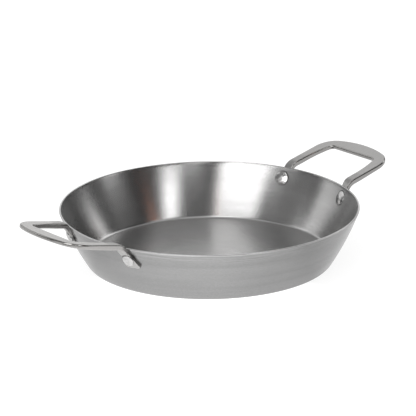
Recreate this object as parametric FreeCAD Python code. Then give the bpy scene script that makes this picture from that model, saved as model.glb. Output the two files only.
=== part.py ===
import FreeCAD, Part
import math
import os

# Round steel pan with two riveted loop handles. Units: mm.
# Origin: centre of the flat base. +Z up, +X along the line through both handles.

# Pan shell
RIM_RADIUS = 150.3
RIM_HEIGHT = 55.0
SHEET = 1.7
BASE_FLAT_RADIUS = 119.5
BASE_CORNER_RADIUS = 6.0
WALL_START_ANGLE = math.radians(58.3)
RIM_EDGE_ROUND = 0.5

# Loop handle: a flat ring plate that rises outward, seen in its own plane
HANDLE_RISE = math.radians(12.5)
HANDLE_TOP_AT_RIM = 61.0
STOCK = 5.8
GRIP_STOCK = 3.9
STOCK_ROUND = 1.6
PLATE_START = 12.0
PLATE_TIP = 64.6
ARM_OUTER = 48.0
ARM_INNER = 37.5
CROWN_RADIUS = 105.0
CORNER_RADIUS = 23.0
GRIP_INNER = 47.0
OPENING_SIDE_RADIUS = 110.0
OPENING_CORNER_RADIUS = 6.0

# Feet: each arm bends down against the wall and ends in a wider pad
BEND_END_Z = 51.0
BEND_END_THICKNESS = 4.4
ARM_END_Z = 44.5
ARM_END_THICKNESS = 2.4
ARM_END_OUTER = 49.0
ARM_END_INNER = 39.4
ARM_END_ROUND = 0.9
PAD_TOP_Z = 52.5
PAD_END_Z = 35.0
PAD_THICKNESS = 3.0
PAD_TOP_OUTER = 48.2
PAD_TOP_INNER = 39.6
PAD_END_OUTER = 57.0
PAD_END_INNER = 38.9
PAD_CORNER = 3.5
PAD_EDGE_ROUND = 0.8
WALL_SEAT = 0.5

# Rivets
RIVET_AZIMUTH = math.radians(18.2)
RIVET_Z = 43.4
SHANK_RADIUS = 3.0
INNER_HEAD_RADIUS = 7.4
INNER_HEAD_HEIGHT = 2.2
OUTER_HEAD_RADIUS = 6.0
OUTER_HEAD_HEIGHT = 2.2
HEAD_EDGE = 0.9
HEAD_EDGE_ROUND = 0.4
HEAD_SEAT = 0.4
SHANK_BITE = 0.8


def vec(x, y, z):
    return FreeCAD.Vector(x, y, z)


def arc(a, b, c):
    return Part.Arc(a, b, c).toShape()


def line(a, b):
    return Part.makeLine(a, b)


# The outer wall is one large arc. It leaves the base corner at WALL_START_ANGLE
# and steepens on its way up to the rim.
WALL_FOOT_R = BASE_FLAT_RADIUS + BASE_CORNER_RADIUS * math.sin(WALL_START_ANGLE)
WALL_FOOT_Z = BASE_CORNER_RADIUS * (1.0 - math.cos(WALL_START_ANGLE))
CHORD = math.hypot(RIM_RADIUS - WALL_FOOT_R, RIM_HEIGHT - WALL_FOOT_Z)
CHORD_ANGLE = math.atan2(RIM_HEIGHT - WALL_FOOT_Z, RIM_RADIUS - WALL_FOOT_R)
WALL_ARC_RADIUS = CHORD / (2.0 * math.sin(CHORD_ANGLE - WALL_START_ANGLE))
WALL_CENTRE_R = WALL_FOOT_R - WALL_ARC_RADIUS * math.sin(WALL_START_ANGLE)
WALL_CENTRE_Z = WALL_FOOT_Z + WALL_ARC_RADIUS * math.cos(WALL_START_ANGLE)


def wall_radius(z, offset=0.0):
    """Radius of the wall surface at height z, offset outward along its normal."""
    reach = WALL_ARC_RADIUS + offset
    return WALL_CENTRE_R + math.sqrt(reach ** 2 - (z - WALL_CENTRE_Z) ** 2)


def wall_angle(z):
    """Steepness of the wall at height z, measured from the horizontal."""
    return math.acos((WALL_CENTRE_Z - z) / WALL_ARC_RADIUS)


def wall_profile(offset, z_top):
    """Base corner arc and wall arc of one face of the sheet, from base to rim."""
    corner = BASE_CORNER_RADIUS + offset

    def on_corner(angle):
        return vec(
            BASE_FLAT_RADIUS + corner * math.sin(angle),
            0,
            BASE_CORNER_RADIUS - corner * math.cos(angle),
        )

    bottom = on_corner(0.0)
    middle = on_corner(WALL_START_ANGLE / 2.0)
    turn = on_corner(WALL_START_ANGLE)
    z_mid = (turn.z + z_top) / 2.0
    wall_mid = vec(wall_radius(z_mid, offset), 0, z_mid)
    wall_top = vec(wall_radius(z_top, offset), 0, z_top)
    return bottom, wall_top, [arc(bottom, middle, turn), arc(turn, wall_mid, wall_top)]


def revolve(edges):
    face = Part.Face(Part.Wire(edges))
    return face.revolve(vec(0, 0, 0), vec(0, 0, 1), 360)


def envelope():
    """The pan filled up to its rim: everything inside the outer surface."""
    bottom, top, edges = wall_profile(0.0, RIM_HEIGHT)
    axis_top = vec(0, 0, RIM_HEIGHT)
    start = [line(vec(0, 0, 0), bottom)]
    close = [line(top, axis_top), line(axis_top, vec(0, 0, 0))]
    return revolve(start + edges + close)


def pan_shell():
    """Spun sheet-metal pan: flat floor, round base corner, flared wall, level rim."""
    out_bottom, out_top, out_edges = wall_profile(0.0, RIM_HEIGHT)
    in_bottom, in_top, in_edges = wall_profile(-SHEET, RIM_HEIGHT)
    floor = vec(0, 0, SHEET)
    edges = [line(vec(0, 0, 0), out_bottom)] + out_edges + [line(out_top, in_top)]
    edges += in_edges + [line(in_bottom, floor), line(floor, vec(0, 0, 0))]
    shell = revolve(Part.__sortEdges__(edges))
    rim_edges = [e for e in shell.Edges if e.BoundBox.ZMin > RIM_HEIGHT - 0.01]
    return shell.makeFillet(RIM_EDGE_ROUND, rim_edges)


def plate_outline():
    """Plan outline of the ring plate, with its grip, both arms and the opening."""
    crown = PLATE_TIP - CROWN_RADIUS
    side = ARM_OUTER - CORNER_RADIUS
    corner_x = crown + math.sqrt((CROWN_RADIUS - CORNER_RADIUS) ** 2 - side ** 2)
    lean = math.atan2(side, corner_x - crown)
    half_lean = (lean + math.pi / 2.0) / 2.0

    big = ARM_INNER - OPENING_SIDE_RADIUS
    gap = OPENING_SIDE_RADIUS - OPENING_CORNER_RADIUS
    gap_x = GRIP_INNER - OPENING_CORNER_RADIUS
    gap_y = big + math.sqrt(gap ** 2 - (gap_x - PLATE_START) ** 2)
    swing = math.atan2(gap_x - PLATE_START, gap_y - big)
    half_swing = (math.pi / 2.0 - swing) / 2.0

    def at(cx, cy, radius, angle, s):
        return vec(cx + radius * math.cos(angle), s * (cy + radius * math.sin(angle)), 0)

    edges = []
    for s in (1, -1):
        start = vec(PLATE_START, s * ARM_OUTER, 0)
        arm_end = vec(corner_x, s * ARM_OUTER, 0)
        elbow = at(corner_x, side, CORNER_RADIUS, half_lean, s)
        shoulder = at(crown, 0, CROWN_RADIUS, lean, s)
        edges += [line(start, arm_end), arc(arm_end, elbow, shoulder)]
        inner = vec(PLATE_START, s * ARM_INNER, 0)
        bow = at(PLATE_START, big, OPENING_SIDE_RADIUS, (math.pi - swing) / 2.0, s)
        nook = at(PLATE_START, big, OPENING_SIDE_RADIUS, math.pi / 2.0 - swing, s)
        nook_mid = at(gap_x, gap_y, OPENING_CORNER_RADIUS, half_swing, s)
        grip_end = vec(GRIP_INNER, s * gap_y, 0)
        edges += [line(start, inner), arc(inner, bow, nook), arc(nook, nook_mid, grip_end)]
    tip = vec(PLATE_TIP, 0, 0)
    edges.append(arc(at(crown, 0, CROWN_RADIUS, lean, 1), tip, shoulder))
    edges.append(line(vec(GRIP_INNER, gap_y, 0), grip_end))
    return Part.Wire(Part.__sortEdges__(edges))


def ring_plate():
    """Grip and arms: a plate that thins towards the grip, lifted into its sloping plane."""
    solid = Part.Face(plate_outline()).extrude(vec(0, 0, -STOCK))
    below = Part.makePolygon([
        vec(PLATE_START, -PLATE_TIP, -STOCK),
        vec(PLATE_TIP, -PLATE_TIP, -GRIP_STOCK),
        vec(PLATE_TIP, -PLATE_TIP, -2.0 * STOCK),
        vec(PLATE_START, -PLATE_TIP, -STOCK),
    ])
    solid = solid.cut(Part.Face(below).extrude(vec(0, 2.0 * PLATE_TIP, 0)))
    long_edges = []
    for e in solid.Edges:
        box = e.BoundBox
        upright = box.XLength < 1e-6 and box.YLength < 1e-6
        at_arm_end = box.XMax < PLATE_START + 1e-6
        if not upright and not at_arm_end:
            long_edges.append(e)
    solid = solid.makeFillet(STOCK_ROUND, long_edges)
    solid.rotate(vec(0, 0, 0), vec(0, 1, 0), -math.degrees(HANDLE_RISE))
    solid.translate(vec(RIM_RADIUS, 0, HANDLE_TOP_AT_RIM))
    return solid


def section(centre, across, up, width, thickness, rounding):
    """Rounded rectangle standing across an arm."""
    w = width / 2.0 - rounding
    h = thickness / 2.0 - rounding
    diag = rounding / math.sqrt(2.0)

    def p(a, b):
        return centre + across * a + up * b

    edges = []
    for sa, sb in ((1, 1), (-1, 1), (-1, -1), (1, -1)):
        side = p(sa * (w + rounding), sb * h)
        face = p(sa * w, sb * (h + rounding))
        corner = p(sa * (w + diag), sb * (h + diag))
        across_end = p(-sa * w, sb * (h + rounding))
        side_end = p(sa * (w + rounding), -sb * h)
        if sa * sb > 0:
            edges += [arc(side, corner, face), line(face, across_end)]
        else:
            edges += [arc(face, corner, side), line(side, side_end)]
    return Part.Wire(edges)


def wall_frame(y, z, thickness):
    """Centre and axes of a foot section whose wall side is seated in the wall."""
    angle = wall_angle(z)
    radius = wall_radius(z, thickness / 2.0 - WALL_SEAT)
    azimuth = math.asin(y / radius)
    centre = vec(radius * math.cos(azimuth), y, z)
    across = vec(-math.sin(azimuth), math.cos(azimuth), 0)
    to_wall = vec(
        -math.sin(angle) * math.cos(azimuth),
        -math.sin(angle) * math.sin(azimuth),
        math.cos(angle),
    )
    return centre, across, to_wall, azimuth, angle


def blend(a, b, t):
    return a + (b - a) * t


def ease(t):
    return t * t * (3.0 - 2.0 * t)


def arm_end():
    """End of the +Y arm: straight run, bend, then down the wall inside the pad."""
    arm_y = (ARM_OUTER + ARM_INNER) / 2.0
    spot, _, _, azimuth, angle = wall_frame(arm_y, BEND_END_Z, BEND_END_THICKNESS)
    rise = HANDLE_RISE
    mid_at_rim = HANDLE_TOP_AT_RIM - STOCK / (2.0 * math.cos(rise))
    lift = mid_at_rim + (spot.x - RIM_RADIUS) * math.tan(rise) - BEND_END_Z
    run = math.sin(angle) - math.sin(rise)
    drop = math.cos(rise) - math.cos(angle)
    bend_radius = lift / (drop - run * math.tan(rise))
    bend_start_x = spot.x + bend_radius * run

    def middle_and_width(t):
        outer = blend(ARM_OUTER, ARM_END_OUTER, ease(t))
        inner = blend(ARM_INNER, ARM_END_INNER, ease(t))
        return (outer + inner) / 2.0, outer - inner

    wires = []
    level = vec(-math.sin(rise), 0, math.cos(rise))
    plate_x = RIM_RADIUS + PLATE_START * math.cos(rise) + STOCK / 2.0 * math.sin(rise)
    for i in range(3):
        x = blend(plate_x, bend_start_x, i / 3.0)
        y, width = middle_and_width(0.04 * i)
        middle = vec(x, y, mid_at_rim + (x - RIM_RADIUS) * math.tan(rise))
        wires.append(section(middle, vec(0, 1, 0), level, width, STOCK, STOCK_ROUND))

    for i in range(5):
        t = i / 5.0
        dip = blend(rise, angle, t)
        turn = azimuth * ease(t)
        y, width = middle_and_width(0.12 + 0.58 * t)
        middle = vec(
            spot.x + bend_radius * (math.sin(angle) - math.sin(dip)),
            y,
            BEND_END_Z + bend_radius * (math.cos(dip) - math.cos(angle)),
        )
        side = vec(-math.sin(turn), math.cos(turn), 0)
        up = vec(
            -math.sin(dip) * math.cos(turn),
            -math.sin(dip) * math.sin(turn),
            math.cos(dip),
        )
        thickness = blend(STOCK, BEND_END_THICKNESS, ease(t))
        rounding = blend(STOCK_ROUND, ARM_END_ROUND, ease(t))
        wires.append(section(middle, side, up, width, thickness, rounding))

    for i in range(4):
        t = i / 3.0
        y, width = middle_and_width(0.7 + 0.3 * t)
        thickness = blend(BEND_END_THICKNESS, ARM_END_THICKNESS, t)
        z = blend(BEND_END_Z, ARM_END_Z, t)
        middle, side, up, _, _ = wall_frame(y, z, thickness)
        wires.append(section(middle, side, up, width, thickness, ARM_END_ROUND))
    return Part.makeLoft(wires, True, False)


def pad():
    """Pad under the +Y arm: a flared tab that follows the wall, rounded at its end."""
    wires = []
    steps = 10
    for i in range(steps + 1):
        t = i / steps
        z = blend(PAD_TOP_Z, PAD_END_Z, t)
        outer = blend(PAD_TOP_OUTER, PAD_END_OUTER, t)
        inner = blend(PAD_TOP_INNER, PAD_END_INNER, t)
        into_corner = PAD_CORNER - (z - PAD_END_Z)
        if into_corner > 0.0:
            reach = min(into_corner, 0.97 * PAD_CORNER)
            shrink = PAD_CORNER - math.sqrt(PAD_CORNER ** 2 - reach ** 2)
            outer -= shrink
            inner += shrink
        middle, side, up, _, _ = wall_frame((outer + inner) / 2.0, z, PAD_THICKNESS)
        wires.append(section(middle, side, up, outer - inner, PAD_THICKNESS, PAD_EDGE_ROUND))
    return Part.makeLoft(wires, True, False)


def rivet_axis(side):
    """A point on the outer wall face at the rivet, and the direction out of the wall."""
    azimuth = side * RIVET_AZIMUTH
    angle = wall_angle(RIVET_Z)
    radius = wall_radius(RIVET_Z)
    point = vec(radius * math.cos(azimuth), radius * math.sin(azimuth), RIVET_Z)
    out = vec(
        math.sin(angle) * math.cos(azimuth),
        math.sin(angle) * math.sin(azimuth),
        -math.cos(angle),
    )
    return point, out


def rivet_bore(side):
    point, out = rivet_axis(side)
    return Part.makeCylinder(SHANK_RADIUS, 24.0, point - out * 12.0, out)


def head(radius, height, base, out):
    """Low domed head: a short upright edge under a shallow spherical cap.

    It starts HEAD_SEAT below its base point, so no gap is left on a curved surface.
    """
    cap = height - HEAD_EDGE
    ball = (radius ** 2 + cap ** 2) / (2.0 * cap)
    tilt = math.asin(radius / ball) / 2.0
    rise = HEAD_SEAT + height
    a = vec(0, 0, 0)
    b = vec(radius, 0, 0)
    c = vec(radius, 0, HEAD_SEAT + HEAD_EDGE)
    d = vec(ball * math.sin(tilt), 0, rise - ball + ball * math.cos(tilt))
    e = vec(0, 0, rise)
    solid = revolve([line(a, b), line(b, c), arc(c, d, e), line(e, a)])
    level = [k for k in solid.Edges if k.BoundBox.ZLength < 1e-6 and k.Length > radius]
    rim = [k for k in level if k.BoundBox.ZMin > HEAD_SEAT]
    solid = solid.makeFillet(HEAD_EDGE_ROUND, rim)
    spin = FreeCAD.Rotation(vec(0, 0, 1), out)
    solid.Placement = FreeCAD.Placement(base - out * HEAD_SEAT, spin)
    return solid


def rivet(side, shell, bare_handle):
    """Solid rivet: inner head on the wall, shank, outer head on the handle foot.

    Each head is cut to the surface it sits on; the shank runs a little into both heads.
    """
    point, out = rivet_axis(side)
    inner_base = point - out * SHEET
    outer_base = point + out * (PAD_THICKNESS - WALL_SEAT)
    inner = head(INNER_HEAD_RADIUS, INNER_HEAD_HEIGHT, inner_base, out * -1.0).cut(shell)
    outer = head(OUTER_HEAD_RADIUS, OUTER_HEAD_HEIGHT, outer_base, out).cut(bare_handle)
    length = SHEET + PAD_THICKNESS - WALL_SEAT + 2.0 * SHANK_BITE
    shank = Part.makeCylinder(SHANK_RADIUS, length, inner_base - out * SHANK_BITE, out)
    return shank.fuse([inner, outer])


def bare_handle():
    """Ring plate with both feet, shaped to the wall, before the rivet holes."""
    feet = [arm_end(), pad()]
    feet += [piece.mirror(vec(0, 0, 0), vec(0, 1, 0)) for piece in feet]
    solid = ring_plate().fuse(feet)
    return solid.cut(envelope())


def turned(shape):
    """The same piece on the opposite side of the pan."""
    other = shape.copy()
    other.rotate(vec(0, 0, 0), vec(0, 0, 1), 180)
    return other


def write(name, shape):
    solids = shape.Solids
    print(name, len(solids), "solid", round(shape.Volume, 1), shape.isValid())
    solids[0].exportStep("parts/" + name + ".step")


def main():
    os.makedirs("parts", exist_ok=True)
    shell = pan_shell()
    blank = bare_handle()
    bores = [rivet_bore(1), rivet_bore(-1)]
    handle = blank.cut(bores)
    rivets = {"back": rivet(1, shell, blank), "front": rivet(-1, shell, blank)}

    write("pan_body", shell.cut(bores + [turned(b) for b in bores]))
    write("handle_right", handle)
    write("handle_left", turned(handle))
    write("rivet_right_back", rivets["back"])
    write("rivet_right_front", rivets["front"])
    write("rivet_left_front", turned(rivets["back"]))
    write("rivet_left_back", turned(rivets["front"]))


main()
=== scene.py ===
import math

import bpy
from mathutils import Matrix, Vector


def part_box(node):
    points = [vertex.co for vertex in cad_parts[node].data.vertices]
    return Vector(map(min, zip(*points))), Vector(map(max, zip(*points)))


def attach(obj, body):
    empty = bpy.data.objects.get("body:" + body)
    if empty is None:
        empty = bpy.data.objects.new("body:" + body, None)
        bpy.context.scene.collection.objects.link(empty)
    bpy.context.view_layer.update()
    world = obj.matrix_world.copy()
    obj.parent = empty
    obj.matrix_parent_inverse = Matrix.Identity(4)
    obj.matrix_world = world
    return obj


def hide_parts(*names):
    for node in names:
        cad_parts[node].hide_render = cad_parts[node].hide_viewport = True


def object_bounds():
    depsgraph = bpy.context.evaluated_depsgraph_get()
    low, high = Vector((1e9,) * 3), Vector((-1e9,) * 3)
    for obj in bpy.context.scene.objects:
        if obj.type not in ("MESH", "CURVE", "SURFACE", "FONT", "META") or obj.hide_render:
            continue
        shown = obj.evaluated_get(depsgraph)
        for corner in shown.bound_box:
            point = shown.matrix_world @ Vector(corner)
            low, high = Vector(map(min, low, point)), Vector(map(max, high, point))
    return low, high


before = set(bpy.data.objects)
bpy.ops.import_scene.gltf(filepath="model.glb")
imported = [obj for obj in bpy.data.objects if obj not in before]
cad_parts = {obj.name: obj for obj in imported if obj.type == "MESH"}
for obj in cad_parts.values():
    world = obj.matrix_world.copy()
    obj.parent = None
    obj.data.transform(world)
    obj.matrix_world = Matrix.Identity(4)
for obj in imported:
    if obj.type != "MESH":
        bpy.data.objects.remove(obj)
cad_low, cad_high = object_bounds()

# Camera: the azimuth it looks along in the part's frame (0 is +Y), its height above level, its
# roll, its distance and lens, and how far to its own right and up from the origin it aims.
VIEW_AZ = math.radians(-40.0)
VIEW_EL = math.radians(18.348)
VIEW_ROLL = math.radians(-0.585)
VIEW_DISTANCE = 2.6
SENSOR_MM = 36.0
LENS_MM = 223.7013
AIM_RIGHT = -0.0014
AIM_UP = 0.05003

# Pan section in metres: outside radii and heights, sheet, base corner, rim edge. The rim is
# 0.04 mm inside the CAD rim, so that the pan stays within the CAD box.
RIM_RADIUS = 0.15026
RIM_HEIGHT = 0.055
SHEET = 0.0017
BASE_FLAT_RADIUS = 0.1195
BASE_CORNER_RADIUS = 0.006
WALL_START_ANGLE = math.radians(58.3)
RIM_EDGE_ROUND = 0.0005

# Lathe mesh: steps round the axis, radii of the rings on the flat base, steps in each arc.
PAN_STEPS = 360
BASE_RINGS = (0.0004, 0.03, 0.06, 0.09, 0.11, 0.118)
CORNER_STEPS = 12
WALL_STEPS = 24
EDGE_STEPS = 7

# Handles and rivets: slope of the grip plates, how far out along X the feet reach, the radii of
# the rivet heads and the width of the dark ring of painted shadow and grime round each head.
HANDLE_RISE = math.radians(12.5)
FOOT_REACH = 0.166
FOOT_BLEND = 0.004
INNER_HEAD_RADIUS = 0.0074
OUTER_HEAD_RADIUS = 0.006
SEAT_RING = 0.0009
RIVETS = ("rivet_right_back", "rivet_right_front", "rivet_left_front", "rivet_left_back")

# Noise values lie mostly between these two.
NOISE_LOW = 0.3
NOISE_HIGH = 0.7

# Pan finish: the heights where the ground band at the rim sets in and where the top edge of the
# rim takes over from the outside's painted shade, then painted shadow and grime at the rivets,
# relief and brushing.
GROUND_FROM = 0.044
GROUND_FULL = 0.050
RIM_TOP_FROM = 0.0535
RIM_TOP_FULL = 0.0545
OUTSIDE_SHADE = 0.85
PAN_SEAT_SHADE_AND_DIRT = 0.75
PAN_RELIEF = 0.00007
PAN_RELIEF_SHARE = 0.8
PAN_ANISOTROPY = 0.8
PAN_GRAIN_TURN = 0.25
PAN_HAZE = 0.24

# Handle and rivet finish, with painted shade on the feet and painted shadow and grime at the
# rivets, and how much rougher the hazy lobe of every metal is.
HANDLE_SEAT_SHADE_AND_DIRT = 0.8
FOOT_SHADE = 0.6
HANDLE_RELIEF = 0.00002
HANDLE_RELIEF_SHARE = 0.5
RIVET_RELIEF = 0.0003
RIVET_RELIEF_SHARE = 0.8
FITTING_HAZE = 0.2
HAZE_SPREAD = 0.22

# Floor: half width, a gap under the pan against touching faces, even glow, and a brighter pool
# of glow towards LIT_FLOOR_AZ that fades out between two distances from the pan's axis.
FLOOR_HALF = 9.0
FLOOR_GAP = 0.0002
FLOOR_GLOW = 0.86
POOL_GLOW = 1.47
POOL_FULL = 0.3
POOL_END = 0.7
LIT_FLOOR_AZ = -6.0

# Light panels seen from the part: azimuth from the camera's side (right is positive), half
# width, lowest and highest elevation, lean (degrees aside per degree up), edge softness,
# radiance. All angles in degrees.
ROOM_DIM = 0.05
PANELS = (
    (-37.0, 20.5, 7.0, 42.0, 0.27, 4.0, 3.6),
    (-30.0, 26.0, 52.0, 82.0, 0.0, 4.0, 2.6),
    (7.3, 7.5, 24.0, 45.0, 0.87, 4.0, 4.9),
    (2.0, 8.0, 4.0, 25.0, 0.6, 4.0, 1.7),
    (66.0, 9.0, 46.0, 60.0, 0.0, 3.0, 1.4),
    (84.0, 8.0, -2.0, 14.0, 0.0, 3.0, 1.4),
    (-66.0, 8.0, -2.0, 12.0, 0.0, 3.0, 1.2),
    (-78.0, 14.0, 12.0, 50.0, 0.0, 5.0, 0.26),
    (85.0, 14.0, 8.0, 30.0, 0.0, 4.0, 0.22),
    (-125.0, 22.0, 6.0, 32.0, 0.0, 5.0, 1.2),
    (-106.0, 12.0, 28.0, 42.0, 0.0, 4.0, 1.5),
    (136.0, 14.0, 28.0, 46.0, 0.0, 4.0, 1.3),
    (-58.0, 6.0, 10.0, 28.0, 0.0, 4.0, 0.9),
    (124.0, 9.0, 12.0, 32.0, 0.0, 4.0, 2.0),
    (180.0, 14.0, 10.0, 60.0, 0.0, 5.0, 0.5),
    (-170.0, 60.0, 32.0, 62.0, 0.0, 5.0, 0.65),
    (180.0, 28.0, -4.0, 32.0, 0.0, 5.0, 0.7),
    (180.0, 181.0, 62.0, 95.0, 0.0, 5.0, 0.75),
)
WHITE = (1.0, 1.0, 1.0, 1.0)
WARM = (1.0, 0.32, 0.12, 1.0)
WARM_LAMPS = (
    (61.0, 1.5, 34.0, 48.0, 0.0, 1.5, 1.8),
    (-9.0, 2.0, 38.0, 50.0, 0.0, 1.5, 0.6),
)


# ------------------------------------------------------------------ node help
class Nodes:
    """Short way to add and wire shader nodes in one tree."""

    def __init__(self, tree):
        self.tree = tree
        self.tree.nodes.clear()

    def add(self, kind, **settings):
        node = self.tree.nodes.new(kind)
        for key, value in settings.items():
            setattr(node, key, value)
        return node

    def put(self, socket, value):
        if isinstance(value, bpy.types.NodeSocket):
            self.tree.links.new(value, socket)
        else:
            socket.default_value = value

    def math(self, op, a, b=0.0, clamp=False):
        node = self.add("ShaderNodeMath", operation=op, use_clamp=clamp)
        self.put(node.inputs[0], a)
        self.put(node.inputs[1], b)
        return node.outputs[0]

    def vector_math(self, op, a, b=None):
        node = self.add("ShaderNodeVectorMath", operation=op)
        self.put(node.inputs[0], a)
        if b is not None:
            self.put(node.inputs[1], b)
        return node.outputs

    def dot(self, a, b):
        return self.vector_math("DOT_PRODUCT", a, b)["Value"]

    def length(self, a):
        return self.vector_math("LENGTH", a)["Value"]

    def vector(self, x, y, z):
        node = self.add("ShaderNodeCombineXYZ")
        for socket, value in zip(node.inputs, (x, y, z)):
            self.put(socket, value)
        return node.outputs[0]

    def split(self, vector):
        node = self.add("ShaderNodeSeparateXYZ")
        self.put(node.inputs[0], vector)
        return node.outputs

    def spread(self, value, low, high, to_low=0.0, to_high=1.0, smooth=False):
        node = self.add("ShaderNodeMapRange", clamp=True)
        node.interpolation_type = "SMOOTHSTEP" if smooth else "LINEAR"
        for name, v in (("Value", value), ("From Min", low), ("From Max", high),
                        ("To Min", to_low), ("To Max", to_high)):
            self.put(node.inputs[name], v)
        return node.outputs["Result"]

    def spread_noise(self, value, to_low=0.0, to_high=1.0):
        return self.spread(value, NOISE_LOW, NOISE_HIGH, to_low, to_high)

    def noise(self, vector, scale, detail, rough):
        node = self.add("ShaderNodeTexNoise")
        self.put(node.inputs["Vector"], vector)
        node.inputs["Scale"].default_value = scale
        node.inputs["Detail"].default_value = detail
        node.inputs["Roughness"].default_value = rough
        return node.outputs["Fac"]

    def mix(self, kind, fac, a, b):
        node = self.add("ShaderNodeMix", data_type=kind)
        self.put(node.inputs["Factor"], fac)
        self.put(node.inputs["A"], a)
        self.put(node.inputs["B"], b)
        return node.outputs["Result"]

    def mix_color(self, fac, a, b):
        return self.mix("RGBA", fac, a, b)

    def bump(self, height, distance, strength):
        node = self.add("ShaderNodeBump")
        node.inputs["Strength"].default_value = strength
        node.inputs["Distance"].default_value = distance
        self.put(node.inputs["Height"], height)
        return node.outputs[0]


def gray(v, warm=0.0):
    return (v * (1.0 + warm), v, v * (1.0 - warm), 1.0)


def new_material(name):
    material = bpy.data.materials.new(name)
    material.use_nodes = True
    return material, Nodes(material.node_tree)


def metal_lobe(n, color, rough, aniso, turn, tangent, normal):
    shader = n.add("ShaderNodeBsdfPrincipled")
    shader.inputs["Metallic"].default_value = 1.0
    shader.inputs["Anisotropic"].default_value = aniso
    shader.inputs["Anisotropic Rotation"].default_value = turn
    n.put(shader.inputs["Base Color"], color)
    n.put(shader.inputs["Roughness"], rough)
    if tangent is not None:
        n.put(shader.inputs["Tangent"], tangent)
    n.put(shader.inputs["Normal"], normal)
    return shader.outputs[0]


def finish_metal(n, color, rough, haze, normal, aniso=0.0, turn=0.0, tangent=None):
    """Clear metal lobe with a wider, hazy lobe of the same metal over part of it."""
    clear = metal_lobe(n, color, rough, aniso, turn, tangent, normal)
    hazy_rough = n.math("ADD", rough, HAZE_SPREAD)
    wide = metal_lobe(n, color, hazy_rough, aniso, turn, tangent, normal)
    mixed = n.add("ShaderNodeMixShader")
    mixed.inputs[0].default_value = haze
    n.put(mixed.inputs[1], clear)
    n.put(mixed.inputs[2], wide)
    out = n.add("ShaderNodeOutputMaterial")
    n.put(out.inputs["Surface"], mixed.outputs[0])


# ------------------------------------------------------------------ pan shape
def wall_arc():
    """Centre (r, z) and radius of the arc of the outer wall, from base corner to rim."""
    foot_r = BASE_FLAT_RADIUS + BASE_CORNER_RADIUS * math.sin(WALL_START_ANGLE)
    foot_z = BASE_CORNER_RADIUS * (1.0 - math.cos(WALL_START_ANGLE))
    chord = math.hypot(RIM_RADIUS - foot_r, RIM_HEIGHT - foot_z)
    chord_angle = math.atan2(RIM_HEIGHT - foot_z, RIM_RADIUS - foot_r)
    radius = chord / (2.0 * math.sin(chord_angle - WALL_START_ANGLE))
    centre_r = foot_r - radius * math.sin(WALL_START_ANGLE)
    return centre_r, foot_z + radius * math.cos(WALL_START_ANGLE), radius


def face_profile(offset):
    """One face of the sheet as (r, z) points: flat, base corner, then wall up to the rim edge."""
    corner = BASE_CORNER_RADIUS + offset
    points = [(r, -offset) for r in BASE_RINGS]
    for i in range(CORNER_STEPS + 1):
        a = WALL_START_ANGLE * i / CORNER_STEPS
        r = BASE_FLAT_RADIUS + corner * math.sin(a)
        points.append((r, BASE_CORNER_RADIUS - corner * math.cos(a)))
    centre_r, centre_z, radius = wall_arc()
    reach = radius + offset
    top = math.acos((centre_z - RIM_HEIGHT + RIM_EDGE_ROUND) / reach)
    for i in range(1, WALL_STEPS + 1):
        a = WALL_START_ANGLE + (top - WALL_START_ANGLE) * i / WALL_STEPS
        points.append((centre_r + reach * math.sin(a), centre_z - reach * math.cos(a)))
    return points


def rim_profile(outer, inner):
    """Rounded top of the rim between the two wall ends, as (r, z) points."""
    outer_round, inner_round = [], []
    for i in range(1, EDGE_STEPS):
        a = math.pi / 2.0 * i / EDGE_STEPS
        near, far = RIM_EDGE_ROUND * math.cos(a), RIM_EDGE_ROUND * math.sin(a)
        outer_round.append((outer[0] - RIM_EDGE_ROUND + near, outer[1] + far))
        inner_round.append((inner[0] + RIM_EDGE_ROUND - far, inner[1] + near))
    flat = [(outer[0] - RIM_EDGE_ROUND, RIM_HEIGHT), (inner[0] + RIM_EDGE_ROUND, RIM_HEIGHT)]
    return outer_round + flat + inner_round


def pan_piece(material):
    """The spun pan as an even lathe mesh, so long highlights run clean round the wall."""
    outer, inner = face_profile(0.0), face_profile(-SHEET)
    rows = outer + rim_profile(outer[-1], inner[-1]) + inner[::-1]
    verts, faces = [], []
    for r, z in rows:
        for k in range(PAN_STEPS):
            a = 2.0 * math.pi * (k + 0.5) / PAN_STEPS
            verts.append((r * math.cos(a), r * math.sin(a), z))
    for j in range(len(rows) - 1):
        a, b = j * PAN_STEPS, (j + 1) * PAN_STEPS
        for k in range(PAN_STEPS):
            m = (k + 1) % PAN_STEPS
            faces.append((a + k, a + m, b + m, b + k))
    faces.append(tuple(reversed(range(PAN_STEPS))))
    last = (len(rows) - 1) * PAN_STEPS
    faces.append(tuple(range(last, last + PAN_STEPS)))
    mesh = bpy.data.meshes.new("pan_spun")
    mesh.from_pydata(verts, [], faces)
    mesh.polygons.foreach_set("use_smooth", [True] * len(faces))
    mesh.materials.append(material)
    pan = bpy.data.objects.new("pan_spun", mesh)
    bpy.context.scene.collection.objects.link(pan)
    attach(pan, "root")
    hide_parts("pan_body")


# ------------------------------------------------------------------ materials
def rivet_seats(n, place, head_radius):
    """Dark ring of shadow and grime just outside each rivet head, 1 at the head to 0."""
    centre_z, radius = wall_arc()[1:]
    total = 0.0
    for node in RIVETS:
        low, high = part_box(node)
        middle = (low + high) / 2.0
        steep = math.acos((centre_z - middle.z) / radius)
        around = math.atan2(middle.y, middle.x)
        outward = math.sin(steep)
        axis = (outward * math.cos(around), outward * math.sin(around), -math.cos(steep))
        off = n.vector_math("SUBTRACT", place, tuple(middle))["Vector"]
        from_axis = n.length(n.vector_math("CROSS_PRODUCT", off, axis)["Vector"])
        ring = n.spread(from_axis, head_radius, head_radius + SEAT_RING, 1.0, 0.0, smooth=True)
        total = n.math("ADD", total, ring, clamp=True)
    return total


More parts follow.
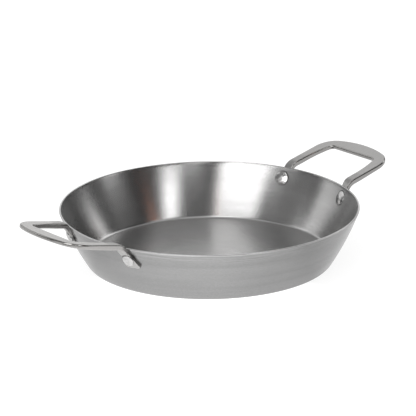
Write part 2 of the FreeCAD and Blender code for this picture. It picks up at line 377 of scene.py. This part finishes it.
def pan_material():
    """Sheet steel brushed round the pan's axis, painted shade as a darker colour outside, with a
    ground band at the rim.
    """
    material, n = new_material("pan_brushed_steel")
    place = n.add("ShaderNodeTexCoord").outputs["Object"]
    x, y, z = n.split(place)
    r = n.math("SQRT", n.math("ADD", n.math("MULTIPLY", x, x), n.math("MULTIPLY", y, y)))
    safe_r = n.math("MAXIMUM", r, BASE_RINGS[0])
    around_x = n.math("DIVIDE", x, safe_r)
    around_y = n.math("DIVIDE", y, safe_r)
    climb = n.math("ADD", r, z)
    surface = n.add("ShaderNodeNewGeometry").outputs["Normal"]
    lean = n.dot(surface, n.vector(around_x, around_y, 0.0))

    def grain(along, across, detail, rough):
        """Noise stretched round the axis: cells per radian along it, per metre across it."""
        spot = n.vector(n.math("MULTIPLY", around_x, along),
                        n.math("MULTIPLY", around_y, along),
                        n.math("MULTIPLY", climb, across))
        return n.noise(spot, 1.0, detail, rough)

    fine = grain(60.0, 800.0, 2.0, 0.6)
    lines = grain(3.0, 1500.0, 3.0, 0.65)
    sparkle = grain(95.0, 1900.0, 1.0, 0.5)
    bands = grain(0.8, 90.0, 2.0, 0.5)
    clouds = n.noise(place, 14.0, 3.0, 0.55)

    tone = n.math("ADD", n.spread_noise(fine, -0.12, 0.12), n.spread_noise(lines, -0.06, 0.06))
    tone = n.math("ADD", tone, n.spread(bands, 0.35, 0.65, -0.10, 0.10))
    tone = n.math("ADD", tone, n.spread_noise(clouds, -0.10, 0.10))
    ground = n.math("MULTIPLY", n.spread(z, GROUND_FROM, GROUND_FULL),
                    n.spread_noise(lines, -0.5, 0.7))
    value = n.math("ADD", n.math("ADD", tone, 0.5), ground)
    color = n.mix_color(value, gray(0.34, 0.006), gray(0.46, 0.004))
    outside = n.math("MULTIPLY", n.spread(lean, 0.0, 0.1),
                     n.spread(z, RIM_TOP_FROM, RIM_TOP_FULL, 1.0, 0.0))
    # Painted shade: the outside wall gets a darker colour, standing for the shaded floor it
    # reflects.
    outside_shade = n.mix_color(value, gray(0.165), gray(0.275))
    color = n.mix_color(n.math("MULTIPLY", outside, OUTSIDE_SHADE), color, outside_shade)
    # Painted shadow and grime: a dark ring round each inner rivet head.
    seats = n.math("MULTIPLY", rivet_seats(n, place, INNER_HEAD_RADIUS), PAN_SEAT_SHADE_AND_DIRT)
    color = n.mix_color(seats, color, gray(0.06))

    rough = n.math("ADD", n.spread_noise(lines, 0.19, 0.215), n.spread_noise(clouds, -0.01, 0.015))
    height = n.math("ADD", n.math("MULTIPLY", fine, 0.5), n.math("MULTIPLY", lines, 0.1))
    height = n.math("ADD", height, n.math("MULTIPLY", sparkle, 0.8))
    normal = n.bump(height, PAN_RELIEF, PAN_RELIEF_SHARE)
    tangent = n.add("ShaderNodeTangent", direction_type="RADIAL", axis="Z").outputs[0]
    finish_metal(n, color, rough, PAN_HAZE, normal, PAN_ANISOTROPY, PAN_GRAIN_TURN, tangent)
    return material


def handle_material(name, side, tone):
    """Cast stainless: satin flat faces and feet, polished round edges, painted shade on the edges
    and feet, painted shadow and grime at the rivets.
    """
    material, n = new_material(name)
    place = n.add("ShaderNodeTexCoord").outputs["Object"]
    face = (-side * math.sin(HANDLE_RISE), 0.0, math.cos(HANDLE_RISE))
    surface = n.add("ShaderNodeNewGeometry").outputs["Normal"]
    facing = n.math("ABSOLUTE", n.dot(surface, face))
    x, y, z = n.split(place)
    across = n.math("ABSOLUTE", n.dot(surface, (0.0, 1.0, 0.0)))
    at_foot = n.spread(n.math("ABSOLUTE", x), FOOT_REACH - FOOT_BLEND, FOOT_REACH,
                       1.0, 0.0, smooth=True)
    foot = n.math("MULTIPLY", n.spread(across, 0.25, 0.6, 1.0, 0.0, smooth=True), at_foot)
    flat = n.math("MAXIMUM", n.spread(facing, 0.93, 0.995, 0.0, 1.0, smooth=True), foot)

    stretched = n.vector(n.math("MULTIPLY", x, 160.0), n.math("MULTIPLY", y, 900.0),
                         n.math("MULTIPLY", z, 160.0))
    grain = n.noise(stretched, 1.0, 3.0, 0.6)
    clouds = n.noise(place, 60.0, 3.0, 0.55)
    # tone scales the satin colour per handle, as painted light and shade between two copies of one
    # part.
    satin_color = n.mix_color(n.spread_noise(grain),
                              gray(0.345 * tone, 0.016), gray(0.415 * tone, 0.014))
    # Painted shade: the round edges get a darker colour than the satin faces.
    color = n.mix_color(flat, gray(0.29, 0.02), satin_color)
    # Painted shade: the feet get a darker colour, like the outside wall they sit on.
    color = n.mix_color(n.math("MULTIPLY", foot, FOOT_SHADE), color, gray(0.26, 0.01))
    # Painted shadow and grime: a dark ring round each outer rivet head.
    seats = n.math("MULTIPLY", rivet_seats(n, place, OUTER_HEAD_RADIUS), HANDLE_SEAT_SHADE_AND_DIRT)
    color = n.mix_color(seats, color, gray(0.05))

    satin = n.math("ADD", n.spread_noise(grain, 0.30, 0.38), n.spread_noise(clouds, -0.02, 0.02))
    polished = n.spread_noise(clouds, 0.10, 0.16)
    rough = n.mix("FLOAT", flat, polished, satin)
    normal = n.bump(n.math("MULTIPLY", grain, flat), HANDLE_RELIEF, HANDLE_RELIEF_SHARE)
    finish_metal(n, color, rough, FITTING_HAZE, normal)
    return material


def rivet_material():
    """Bright rivet heads with the small dents of setting."""
    material, n = new_material("rivet_steel_finish")
    place = n.add("ShaderNodeTexCoord").outputs["Object"]
    dents = n.noise(place, 380.0, 1.0, 0.5)
    fine = n.noise(place, 2400.0, 2.0, 0.6)
    color = n.mix_color(n.spread_noise(dents), gray(0.38, 0.008), gray(0.50, 0.006))
    rough = n.math("ADD", n.spread_noise(dents, 0.15, 0.24), n.spread_noise(fine, -0.03, 0.03))
    normal = n.bump(dents, RIVET_RELIEF, RIVET_RELIEF_SHARE)
    finish_metal(n, color, rough, FITTING_HAZE, normal)
    return material


def dress(node, material):
    """Give a CAD node a new material and leave its shape alone."""
    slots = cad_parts[node].data.materials
    slots.clear()
    slots.append(material)


# ------------------------------------------------------------------ studio
def room(right, ahead, up):
    """A direction given as seen from the camera, level with the floor, in the part's frame."""
    c, s = math.cos(VIEW_AZ), math.sin(VIEW_AZ)
    return Vector((right * c - ahead * s, right * s + ahead * c, up))


def toward_azimuth(degrees):
    """Level direction at an azimuth from the camera's side, and the level one square to it."""
    a = math.radians(degrees)
    return tuple(room(math.sin(a), -math.cos(a), 0.0)), tuple(room(math.cos(a), math.sin(a), 0.0))


def floor_glow(n, place):
    """Even glow of the floor, brighter in a wide wedge in front of the pan, fading outwards."""
    toward = n.dot(n.vector_math("NORMALIZE", place)["Vector"], toward_azimuth(LIT_FLOOR_AZ)[0])
    near = n.spread(n.length(place), POOL_FULL, POOL_END, 1.0, 0.0, smooth=True)
    pool = n.math("MULTIPLY", n.spread(toward, 0.5, 1.0), near)
    return n.spread(pool, 0.0, 1.0, FLOOR_GLOW, POOL_GLOW)


def studio_floor():
    mesh = bpy.data.meshes.new("studio_floor")
    s = FLOOR_HALF
    mesh.from_pydata([(-s, -s, 0), (s, -s, 0), (s, s, 0), (-s, s, 0)], [], [(0, 1, 2, 3)])
    floor = bpy.data.objects.new("studio_floor", mesh)
    bpy.context.scene.collection.objects.link(floor)
    floor.location.z = cad_low.z - FLOOR_GAP
    material, n = new_material("pale_floor")
    place = n.add("ShaderNodeTexCoord").outputs["Object"]
    mottle = n.noise(place, 40.0, 3.0, 0.6)
    shader = n.add("ShaderNodeBsdfPrincipled")
    n.put(shader.inputs["Base Color"], n.mix_color(mottle, gray(0.27), gray(0.25)))
    shader.inputs["Emission Color"].default_value = WHITE
    n.put(shader.inputs["Emission Strength"], floor_glow(n, place))
    shader.inputs["Roughness"].default_value = 0.9
    shader.inputs["Specular IOR Level"].default_value = 0.1
    out = n.add("ShaderNodeOutputMaterial")
    n.put(out.inputs["Surface"], shader.outputs[0])
    mesh.materials.append(material)


def panel_light(n, aim, panels, total):
    """Radiance of all the panels in the direction aim, added to total."""
    height = n.dot(aim, (0.0, 0.0, 1.0))
    elevation = n.math("MULTIPLY", n.math("ARCSINE", height), math.degrees(1.0))
    for azimuth, half, low, high, lean, soft, radiance in panels:
        ahead, aside = toward_azimuth(azimuth)
        off = n.math("ARCTAN2", n.dot(aim, aside), n.dot(aim, ahead))
        off = n.math("MULTIPLY", off, math.degrees(1.0))
        if lean:
            off = n.math("SUBTRACT", off, n.math("MULTIPLY", elevation, lean))
        off = n.math("ABSOLUTE", off)
        wide = n.spread(off, half - soft, half + soft, radiance, 0.0, smooth=True)
        above = n.spread(elevation, low - soft, low + soft, 0.0, 1.0, smooth=True)
        below = n.spread(elevation, high - soft, high + soft, 1.0, 0.0, smooth=True)
        panel = n.math("MULTIPLY", wide, n.math("MULTIPLY", above, below))
        total = n.math("ADD", total, panel)
    return total


def studio_world():
    """Dark room with soft light panels all round, a pale ceiling and two small warm lamps."""
    world = bpy.data.worlds.new("studio")
    world.use_nodes = True
    bpy.context.scene.world = world
    n = Nodes(world.node_tree)
    aim = n.add("ShaderNodeTexCoord").outputs["Generated"]
    both = n.add("ShaderNodeAddShader")
    lights = ((PANELS, ROOM_DIM, WHITE), (WARM_LAMPS, 0.0, WARM))
    for socket, (panels, base, color) in zip(both.inputs, lights):
        back = n.add("ShaderNodeBackground")
        back.inputs["Color"].default_value = color
        n.put(back.inputs["Strength"], panel_light(n, aim, panels, base))
        n.put(socket, back.outputs[0])
    out = n.add("ShaderNodeOutputWorld")
    n.put(out.inputs["Surface"], both.outputs[0])


def camera():
    back = room(0.0, -math.cos(VIEW_EL), math.sin(VIEW_EL))
    right = room(1.0, 0.0, 0.0)
    up = back.cross(right)
    target = right * AIM_RIGHT + up * AIM_UP
    c, s = math.cos(VIEW_ROLL), math.sin(VIEW_ROLL)
    x_axis = right * c + up * s
    y_axis = up * c - right * s
    place = Matrix((x_axis, y_axis, back)).transposed().to_4x4()
    place.translation = target + back * VIEW_DISTANCE
    data = bpy.data.cameras.new("camera")
    data.sensor_width = SENSOR_MM
    data.lens = LENS_MM
    data.clip_start, data.clip_end = 0.05, 60.0
    cam = bpy.data.objects.new("camera", data)
    bpy.context.scene.collection.objects.link(cam)
    cam.matrix_world = place
    bpy.context.scene.camera = cam


pan_piece(pan_material())
# Painted light and shade: the right handle's colour is scaled darker (0.91) and the left one's
# lighter (1.25).
dress("handle_right", handle_material("handle_right_steel", 1.0, 0.91))
dress("handle_left", handle_material("handle_left_steel", -1.0, 1.25))
rivets = rivet_material()
for node in RIVETS:
    dress(node, rivets)

studio_floor()
studio_world()
camera()
bpy.context.scene.view_settings.view_transform = "Standard"
